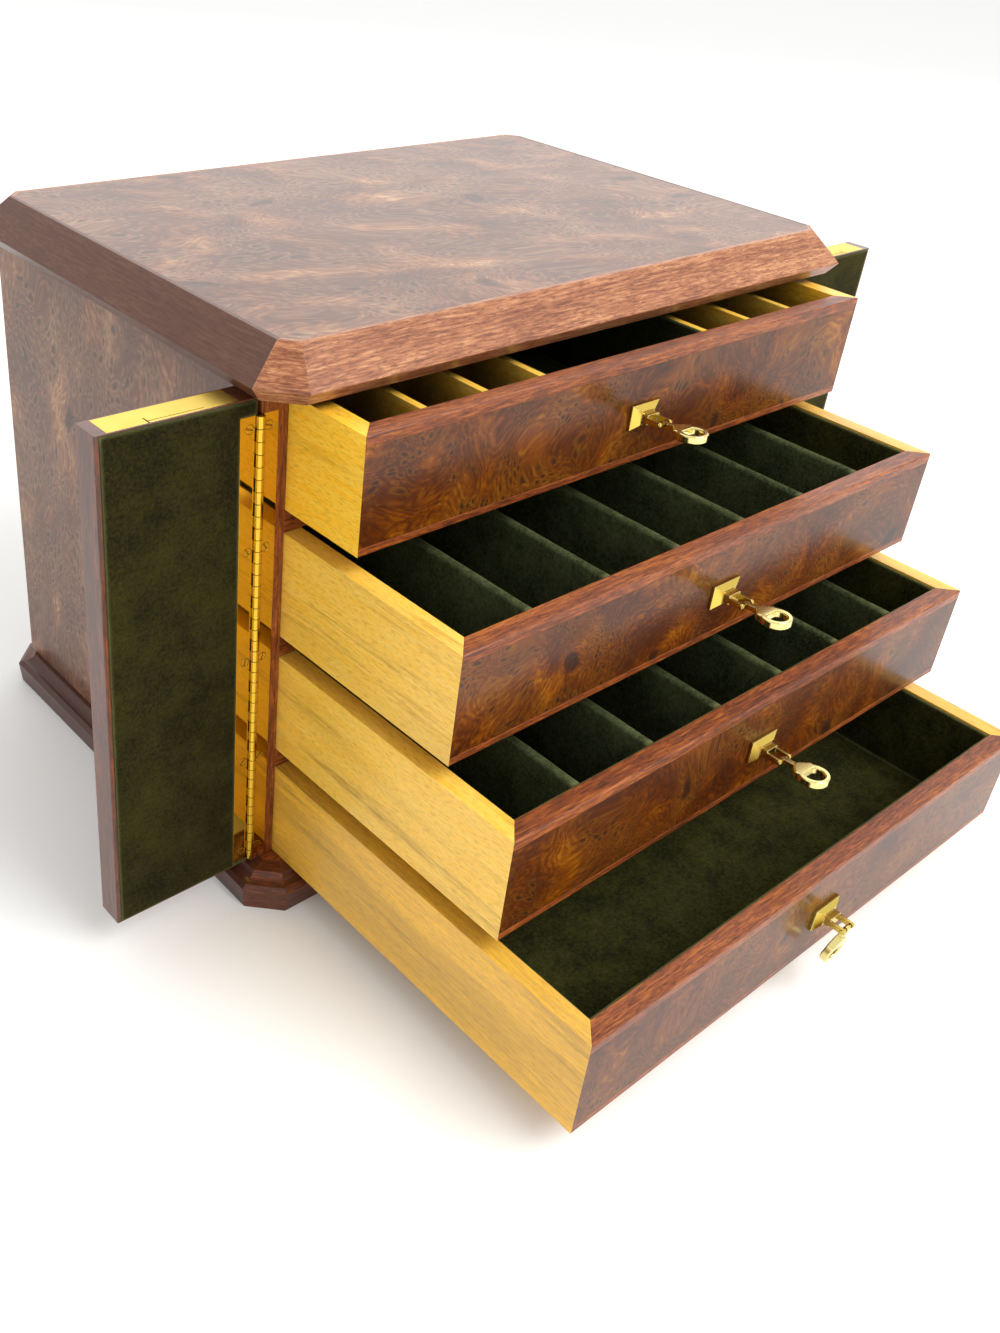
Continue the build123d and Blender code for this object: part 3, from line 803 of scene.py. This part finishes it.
def add_tray(bm, low, high, velvet):
    """Adds a lining: a floor and four walls folded from one sheet, with a soft rolled rim."""
    verts = add_block(bm, low, high)
    top = [f for f in {face for v in verts for face in v.link_faces} if f.normal.z > 0.5]
    bmesh.ops.inset_region(bm, faces=top, thickness=velvet.lining_wall, use_even_offset=True)
    pushed = bmesh.ops.extrude_face_region(bm, geom=top)["geom"]
    bmesh.ops.delete(bm, geom=top, context="FACES_KEEP_BOUNDARY")
    inner = [e for e in pushed if isinstance(e, bmesh.types.BMVert)]
    drop = high[2] - low[2] - velvet.lining_floor
    bmesh.ops.translate(bm, vec=(0, 0, -drop), verts=inner)


def soft_edges(bm, low, high):
    """Edges of a lining that show: its creases inside and its rim, but not the hidden outside."""
    chosen = []
    outside = ((0, low[0]), (0, high[0]), (1, low[1]), (1, high[1]), (2, low[2]))
    for edge in bm.edges:
        if len(edge.link_faces) != 2 or edge.calc_face_angle(0) < CREASE:
            continue
        hidden = any(all(abs(v.co[axis] - limit) < TOUCH for v in edge.verts) for axis, limit in outside)
        if not hidden:
            chosen.append(edge)
    return chosen


def box_inside(node, gap):
    """A node's box, drawn in by this gap on every side."""
    low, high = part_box(node)
    inset = Vector((gap, gap, gap))
    return low + inset, high - inset


def make_lining(number, velvet, material):
    """Velvet lining of one drawer. The top drawer is lined in its middle part, and its ring cells have
    only a floor."""
    name = f"drawer_{number}"
    low, high = box_inside(f"{name}_lining", velvet.seat_gap)
    bm = bmesh.new()
    corner, opposite = low, high
    if number == 1:
        floor_top = low[2] + velvet.lining_floor
        for start, end in ring_cells(number, low[0], high[0], velvet.seat_gap):
            floor = bmesh.new()
            floor_low, floor_high = (start, low[1], low[2]), (end, high[1], floor_top)
            add_block(floor, floor_low, floor_high)
            cut_in_grid(floor, floor_low, floor_high, velvet.grid_pitch)
            join_mesh(bm, floor)
        start, end = middle_cell(number)
        corner, opposite = (start, low[1], low[2]), (end, high[1], high[2])
    tray = bmesh.new()
    add_tray(tray, corner, opposite, velvet)
    cut_in_grid(tray, corner, opposite, velvet.grid_pitch)
    tray.normal_update()
    round_edges(tray, soft_edges(tray, corner, opposite), velvet.corner_round * LINING_ROUND)
    join_mesh(bm, tray)
    finish_velvet(bm, f"{name}_velvet_lining", material, name, [f"{name}_lining"], velvet)


def join_mesh(bm, piece):
    """Adds one bmesh to another."""
    mesh = bpy.data.meshes.new("joined")
    piece.to_mesh(mesh)
    piece.free()
    bm.from_mesh(mesh)
    bpy.data.meshes.remove(mesh)


def divider_spans(number):
    """(low, high) across the drawer of each of its dividers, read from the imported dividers."""
    edges = sorted({round(v.co.x, 5) for v in NODES[f"drawer_{number}_dividers"].data.vertices})
    return list(zip(edges[0::2], edges[1::2]))


def middle_cell(number):
    """Left and right end of the wide middle part of the top drawer."""
    spans = divider_spans(number)
    half = len(spans) // 2
    return spans[half - 1][1], spans[half][0]


def ring_cells(number, low, high, gap):
    """Left and right end of each narrow cell at both ends of the top drawer."""
    spans = divider_spans(number)
    half = len(spans) // 2
    starts = [low] + [end for start, end in spans]
    ends = [start for start, end in spans] + [high]
    cells = list(zip(starts, ends))
    del cells[half]
    return [(start + gap, end - gap) for start, end in cells]


def make_dividers(number, velvet, material):
    """Velvet covered dividers of one drawer, each with the velvet rolled over its top edge."""
    name = f"drawer_{number}"
    low, high = box_inside(f"{name}_dividers", velvet.seat_gap)
    bm = bmesh.new()
    for start, end in divider_spans(number):
        piece = bmesh.new()
        corner, opposite = (start, low[1], low[2]), (end, high[1], high[2])
        add_block(piece, corner, opposite)
        cut_in_grid(piece, corner, opposite, velvet.grid_pitch)
        ridge = [
            e
            for e in piece.edges
            if all(abs(v.co.z - high[2]) < TOUCH for v in e.verts)
            and any(all(abs(v.co.x - side) < TOUCH for v in e.verts) for side in (start, end))
        ]
        round_edges(piece, ridge, (end - start) * DIVIDER_ROUND, segments=4)
        join_mesh(bm, piece)
    finish_velvet(bm, f"{name}_velvet_dividers", material, name, [f"{name}_dividers"], velvet)


def make_door_pad(side, velvet, material):
    """Velvet panel on the inside of a door, cut out round the hinge leaf, with soft turned edges."""
    body = f"door_{side}"
    low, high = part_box(f"{body}_velvet_panel")
    leaf_low, leaf_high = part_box(f"{body}_hinge_leaf")
    gap = velvet.seat_gap
    if side == "left":
        near, far, notch = high[0] - gap, low[0] + gap, leaf_low[0] - gap
    else:
        near, far, notch = low[0] + gap, high[0] - gap, leaf_high[0] + gap
    bottom, top = low[2] + gap, high[2] - gap
    outline = [
        (far, bottom),
        (far, top),
        (near, top),
        (near, leaf_high[2] + gap),
        (notch, leaf_high[2] + gap),
        (notch, leaf_low[2] - gap),
        (near, leaf_low[2] - gap),
        (near, bottom),
    ]
    bm = bmesh.new()
    back = high[1] - gap
    bm.faces.new([bm.verts.new((x, back, z)) for x, z in outline])
    cut_in_grid(bm, low, high, velvet.grid_pitch)
    faces = list(bm.faces)
    raised = bmesh.ops.extrude_face_region(bm, geom=faces, use_keep_orig=True)["geom"]
    front_verts = [v for v in raised if isinstance(v, bmesh.types.BMVert)]
    bmesh.ops.translate(bm, vec=(0, low[1] - back, 0), verts=front_verts)
    bmesh.ops.recalc_face_normals(bm, faces=bm.faces)
    rim = [
        e
        for e in bm.edges
        if e.calc_face_angle(0) > CREASE and all(abs(v.co.y - low[1]) < TOUCH for v in e.verts)
    ]
    round_edges(bm, rim, velvet.corner_round)
    finish_velvet(bm, f"{body}_velvet_pad", material, body, [f"{body}_velvet_panel"], velvet)


# Brass


def bright_brass(colours, name, roughness):
    """Bright brass with faint rub marks that make its reflections waver, softened edges painted in a colour
    of their own (a painted highlight on the pulls, a painted shadow line on the hinges and screws), and
    corners darkened, partly tarnished brass and partly painted shade."""
    colour, painted_edge_colour, tarnish_and_shade = colours
    wave_mm, corner_mm = 14, 3
    material, tree = new_material(name)
    place = add_node(tree, "ShaderNodeTexCoord").outputs["Object"]
    waves = add_node(
        tree, "ShaderNodeTexNoise", {"Vector": place, "Scale": per_mm(wave_mm), "Detail": 2.0}
    ).outputs["Fac"]
    rub = add_node(
        tree,
        "ShaderNodeMapRange",
        {"Value": waves, "To Min": roughness * 0.7, "To Max": roughness * 1.4},
    ).outputs["Result"]
    # Edges get the edge colour: a painted highlight on the pulls, a painted shadow line on the hinges and
    # screws
    rounded, edge = edge_mask(tree, 0.5 * MM, 0.97, 0.8, 0.8)
    bump = add_node(
        tree, "ShaderNodeBump", {"Height": waves, "Distance": 0.08 * MM, "Strength": 0.5, "Normal": rounded}
    ).outputs["Normal"]
    # Tarnish and painted shade: darker where corners close in
    open_sky = add_node(
        tree, "ShaderNodeAmbientOcclusion", {"Distance": corner_mm * MM}, samples=6
    ).outputs["AO"]
    recess_shade = add_node(
        tree, "ShaderNodeMapRange", {"Value": open_sky, "From Min": 0.8, "From Max": 0.25}
    ).outputs["Result"]
    metal = lay_over(tree, opaque(colour), ((edge, painted_edge_colour), (recess_shade, tarnish_and_shade)))
    close_material(tree, Base__Color=metal, Metallic=1.0, Roughness=rub, Normal=bump)
    return material


# The operators


class CHEST_OT_veneer(bpy.types.Operator):
    """Finishes the lid, side panels, back and drawer fronts in burl veneer"""

    bl_idname = "chest.veneer"
    bl_label = "Burl Veneer"

    def execute(self, context):
        wood = context.scene.chest_wood
        outer = (
            wood.burl_dark,
            wood.burl_brown,
            wood.burl_amber,
            wood.burl_pale,
            wood.burl_mauve,
            wood.burl_eye,
        )
        drawers = (
            wood.front_dark,
            wood.front_brown,
            wood.front_amber,
            wood.front_pale,
            wood.front_mauve,
            wood.burl_eye,
        )
        polished, waxed, gloss = (0.3, 0.08, 0.3), (0.35, 0.12, 0.3), (0.55, 0.2, 0.04)
        wide, fine = (0.38, 4.4, 0.7), (0.46, 3.4, 0.8)
        lid = burl_veneer(
            outer, "burl_veneer_lid", "XY", (1.7, 1.0), -20, (0.31, 0.12), polished, (0.44, 4.4, 0.65)
        )
        sides = burl_veneer(outer, "burl_veneer_sides", "YZX", (1.0, 1.7), 0, (0.28, 0.2), waxed, wide)
        back = burl_veneer(outer, "burl_veneer_back", "XZ", (1.0, 1.7), 0, (0.22, 0.7), waxed, wide)
        fronts = burl_veneer(drawers, "burl_veneer_fronts", "XZ", (1.1, 1.1), 0, (0.13, 0.05), gloss, fine)
        give(lid, "lid_panel")
        give(sides, "side_panel_left", "side_panel_right")
        give(back, "back_panel")
        give(fronts, *[f"drawer_{n}_front" for n in DRAWERS])
        return {"FINISHED"}


class CHEST_OT_mahogany(bpy.types.Operator):
    """Finishes the mouldings, stiles, rails, lippings and doors in mahogany"""

    bl_idname = "chest.mahogany"
    bl_label = "Mahogany"

    def execute(self, context):
        wood = context.scene.chest_wood
        mouldings = (wood.moulding_dark, wood.moulding_main, wood.moulding_light)
        boards = (wood.mahogany_dark, wood.mahogany_red, wood.mahogany_light)
        # Painted shade: this darker mahogany stands in for the plinth's shadow; the doors use it too
        brown = (wood.mahogany_dark, wood.plinth_door_shaded_main, wood.mahogany_red)
        lippings = [f"drawer_{n}_lipping" for n in DRAWERS]
        # Both frames get painted shade on their left and right lengths
        lid_frame = mahogany(mouldings, "mahogany_lid_frame_shaded_sides", "X", side_shade_colour=wood.moulding_side_shade)
        plinth_frame = mahogany(brown, "mahogany_plinth_frame_shaded", "X", side_shade_colour=wood.moulding_side_shade)
        lengthways = mahogany(boards, "mahogany_lengthways", "X")
        upright = mahogany(boards, "mahogany_upright", "Z")
        give(lid_frame, "lid_moulding")
        give(plinth_frame, "plinth_moulding")
        give(lengthways, "top_board", "base_board", "drawer_rails", *lippings)
        give(upright, "stiles")
        give(mahogany(brown, "mahogany_doors", "Z", lacquer=0.6), *[f"door_{side}_board" for side in SIDES])
        give(mahogany(boards, "mahogany_runners", "Y"), "drawer_runners")
        return {"FINISHED"}


class CHEST_OT_drawer_boxes(bpy.types.Operator):
    """Finishes the drawer sides, backs, bottoms and bare dividers in yellow wood"""

    bl_idname = "chest.drawer_boxes"
    bl_label = "Drawer Boxes"

    def execute(self, context):
        wood = context.scene.chest_wood
        # The top drawer's box and dividers get painted shade in their cells
        top, dividers = (
            yellow_wood(
                (wood.yellow_dark, wood.top_yellow, light), name, streaks=0.3, shade=wood.yellow_shade
            )
            for light, name in (
                (wood.top_light, "yellow_hardwood_top"),
                (wood.divider_light, "yellow_hardwood_dividers"),
            )
        )
        lower = yellow_wood(
            (wood.yellow_dark, wood.yellow_wood, wood.yellow_light), "yellow_hardwood_lower"
        )
        lowest = yellow_wood(
            (wood.yellow_dark, wood.low_yellow, wood.yellow_wood), "yellow_hardwood_lowest", streaks=1.0
        )
        give(dividers, "drawer_1_dividers")
        for n, finish in zip(DRAWERS, (top, lower, lower, lowest)):
            give(finish, f"drawer_{n}_box", f"drawer_{n}_bottom")
        return {"FINISHED"}


class CHEST_OT_brass(bpy.types.Operator):
    """Finishes the hinges, screws, cap plates and key shaped pulls in brass"""

    bl_idname = "chest.brass"
    bl_label = "Brass Fittings"

    def execute(self, context):
        brass = context.scene.chest_brass
        # The pulls' edges get a painted highlight
        polished = bright_brass((brass.polished, brass.rim_highlight, brass.tarnish_and_shade), "polished_cast_brass", 0.2)
        bright = bright_brass((brass.bright, brass.rim_highlight, brass.tarnish_and_shade), "bright_cast_brass", 0.13)
        # Hinges and screws: edges get a painted shadow line, and screw heads painted shade in their
        # sinkings
        rolled = bright_brass((brass.rolled, brass.tarnish_and_shade, brass.tarnish_and_shade), "rolled_hinge_brass", 0.06)
        plates = bright_brass((brass.plate, brass.plate, brass.tarnish_and_shade), "satin_plate_brass", 0.42)
        screws = bright_brass((brass.rolled, brass.tarnish_and_shade, brass.screw), "turned_screw_brass", 0.25)
        give(rolled, "hinge_pins", *[f"cabinet_hinge_leaf_{side}" for side in SIDES])
        give(rolled, *[f"door_{side}_hinge_leaf" for side in SIDES])
        give(screws, "cabinet_hinge_screws", *[f"door_{side}_hinge_screws" for side in SIDES])
        give(plates, *[f"door_{side}_cap_plate" for side in SIDES])
        for n in DRAWERS:
            give(polished, f"drawer_{n}_key_pull", f"drawer_{n}_key_fixings")
            give(bright, f"drawer_{n}_key_bow")
        return {"FINISHED"}


class CHEST_OT_velvet(bpy.types.Operator):
    """Lines the drawers and doors with velvet and covers the dividers"""

    bl_idname = "chest.velvet"
    bl_label = "Velvet"

    def execute(self, context):
        velvet = context.scene.chest_velvet
        # The drawers' linings and dividers get painted shade deep in their cells
        lining = cotton_velvet(
            velvet.drawer_pile, velvet.drawer_brushed, velvet, "cotton_velvet_lining", deep=True
        )
        # Painted light: the dividers get a lighter copy of the lining velvet
        lit_cover = cotton_velvet(
            velvet.divider_pile_lit, velvet.divider_brushed_lit, velvet, "cotton_velvet_cover_lit", deep=True
        )
        panel = cotton_velvet(velvet.door_pile, velvet.door_brushed, velvet, "cotton_velvet_panel")
        for n in DRAWERS:
            make_lining(n, velvet, lining)
        for n in VELVET_DIVIDED:
            make_dividers(n, velvet, lit_cover)
        for side in SIDES:
            make_door_pad(side, velvet, panel)
        return {"FINISHED"}


class CHEST_OT_stage(bpy.types.Operator):
    """Sets up the floor, the soft studio light and the camera"""

    bl_idname = "chest.stage"
    bl_label = "Stage"

    def execute(self, context):
        stage = context.scene.chest_stage
        make_floor(stage)
        make_lights(stage)
        make_camera(stage)
        context.scene.view_settings.view_transform = "Standard"
        return {"FINISHED"}


def make_floor(stage):
    """A wide pale floor."""
    material, tree = new_material("matt_paper_floor")
    close_material(tree, Base__Color=opaque(stage.floor_colour), Roughness=0.9, Specular__IOR__Level=0.2)
    bm = bmesh.new()
    bmesh.ops.create_grid(bm, x_segments=1, y_segments=1, size=FLOOR_REACH)
    mesh = bpy.data.meshes.new("floor")
    bm.to_mesh(mesh)
    bm.free()
    mesh.materials.append(material)
    floor = bpy.data.objects.new("floor", mesh)
    bpy.context.scene.collection.objects.link(floor)


def make_lights(stage):
    """Light from all round and two large soft lights."""
    world = bpy.data.worlds.new("surroundings")
    bpy.context.scene.world = world
    world.use_nodes = True
    background = world.node_tree.nodes["Background"]
    background.inputs["Color"].default_value = opaque(stage.sky_colour)
    background.inputs["Strength"].default_value = stage.sky_strength
    centre = (CAD_LOW + CAD_HIGH) / 2
    for name, place, size, power in (
        ("key_light", KEY_PLACE, KEY_SIZE, stage.key_power),
        ("back_light", BACK_PLACE, BACK_SIZE, stage.back_power),
    ):
        light = bpy.data.lights.new(name, "AREA")
        light.shape = "RECTANGLE"
        light.size, light.size_y = size
        light.energy = power
        lamp = bpy.data.objects.new(name, light)
        lamp.location = place
        lamp.rotation_euler = (centre - Vector(place)).to_track_quat("-Z", "Y").to_euler()
        bpy.context.scene.collection.objects.link(lamp)


def make_camera(stage):
    """The camera at the photograph's place and angle."""
    data = bpy.data.cameras.new("camera")
    data.sensor_width = SENSOR_WIDTH_MM
    data.lens = stage.focal_length_mm
    data.shift_x = (IMAGE_WIDTH_PX / 2 - AXIS_X_PX) / IMAGE_HEIGHT_PX
    data.shift_y = (AXIS_Y_PX - IMAGE_HEIGHT_PX / 2) / IMAGE_HEIGHT_PX
    data.clip_start, data.clip_end = 0.01, 50.0
    azimuth, elevation, roll = stage.camera_turn
    turn = (
        Matrix.Rotation(azimuth, 4, "Z")
        @ Matrix.Rotation(pi / 2 - elevation, 4, "X")
        @ Matrix.Rotation(roll, 4, "Z")
    )
    camera = bpy.data.objects.new("camera", data)
    camera.matrix_world = Matrix.Translation(Vector(stage.camera_place)) @ turn
    bpy.context.scene.collection.objects.link(camera)
    bpy.context.scene.camera = camera


class CHEST_PT_panel(bpy.types.Panel):
    """Lists the steps that finish the chest"""

    bl_idname = "CHEST_PT_panel"
    bl_label = "Jewellery Chest"
    bl_space_type = "VIEW_3D"
    bl_region_type = "UI"
    bl_category = "Chest"

    def draw(self, context):
        for step in STEPS:
            self.layout.operator(step.bl_idname)


STEPS = (
    CHEST_OT_veneer,
    CHEST_OT_mahogany,
    CHEST_OT_drawer_boxes,
    CHEST_OT_brass,
    CHEST_OT_velvet,
    CHEST_OT_stage,
)
GROUPS = {
    "chest_wood": ChestWood,
    "chest_velvet": ChestVelvet,
    "chest_brass": ChestBrass,
    "chest_stage": ChestStage,
}


def register():
    """Registers the settings, the steps and the panel."""
    for group in GROUPS.values():
        bpy.utils.register_class(group)
    for step in (*STEPS, CHEST_PT_panel):
        bpy.utils.register_class(step)
    for name, group in GROUPS.items():
        setattr(bpy.types.Scene, name, PointerProperty(type=group))


def unregister():
    """Takes them out again."""
    for name in GROUPS:
        delattr(bpy.types.Scene, name)
    for step in (CHEST_PT_panel, *reversed(STEPS)):
        bpy.utils.unregister_class(step)
    for group in reversed(list(GROUPS.values())):
        bpy.utils.unregister_class(group)


def main():
    """Finishes the chest."""
    register()
    bpy.ops.chest.veneer()
    bpy.ops.chest.mahogany()
    bpy.ops.chest.drawer_boxes()
    bpy.ops.chest.brass()
    bpy.ops.chest.velvet()
    bpy.ops.chest.stage()
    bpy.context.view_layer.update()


if __name__ == "__main__":
    main()
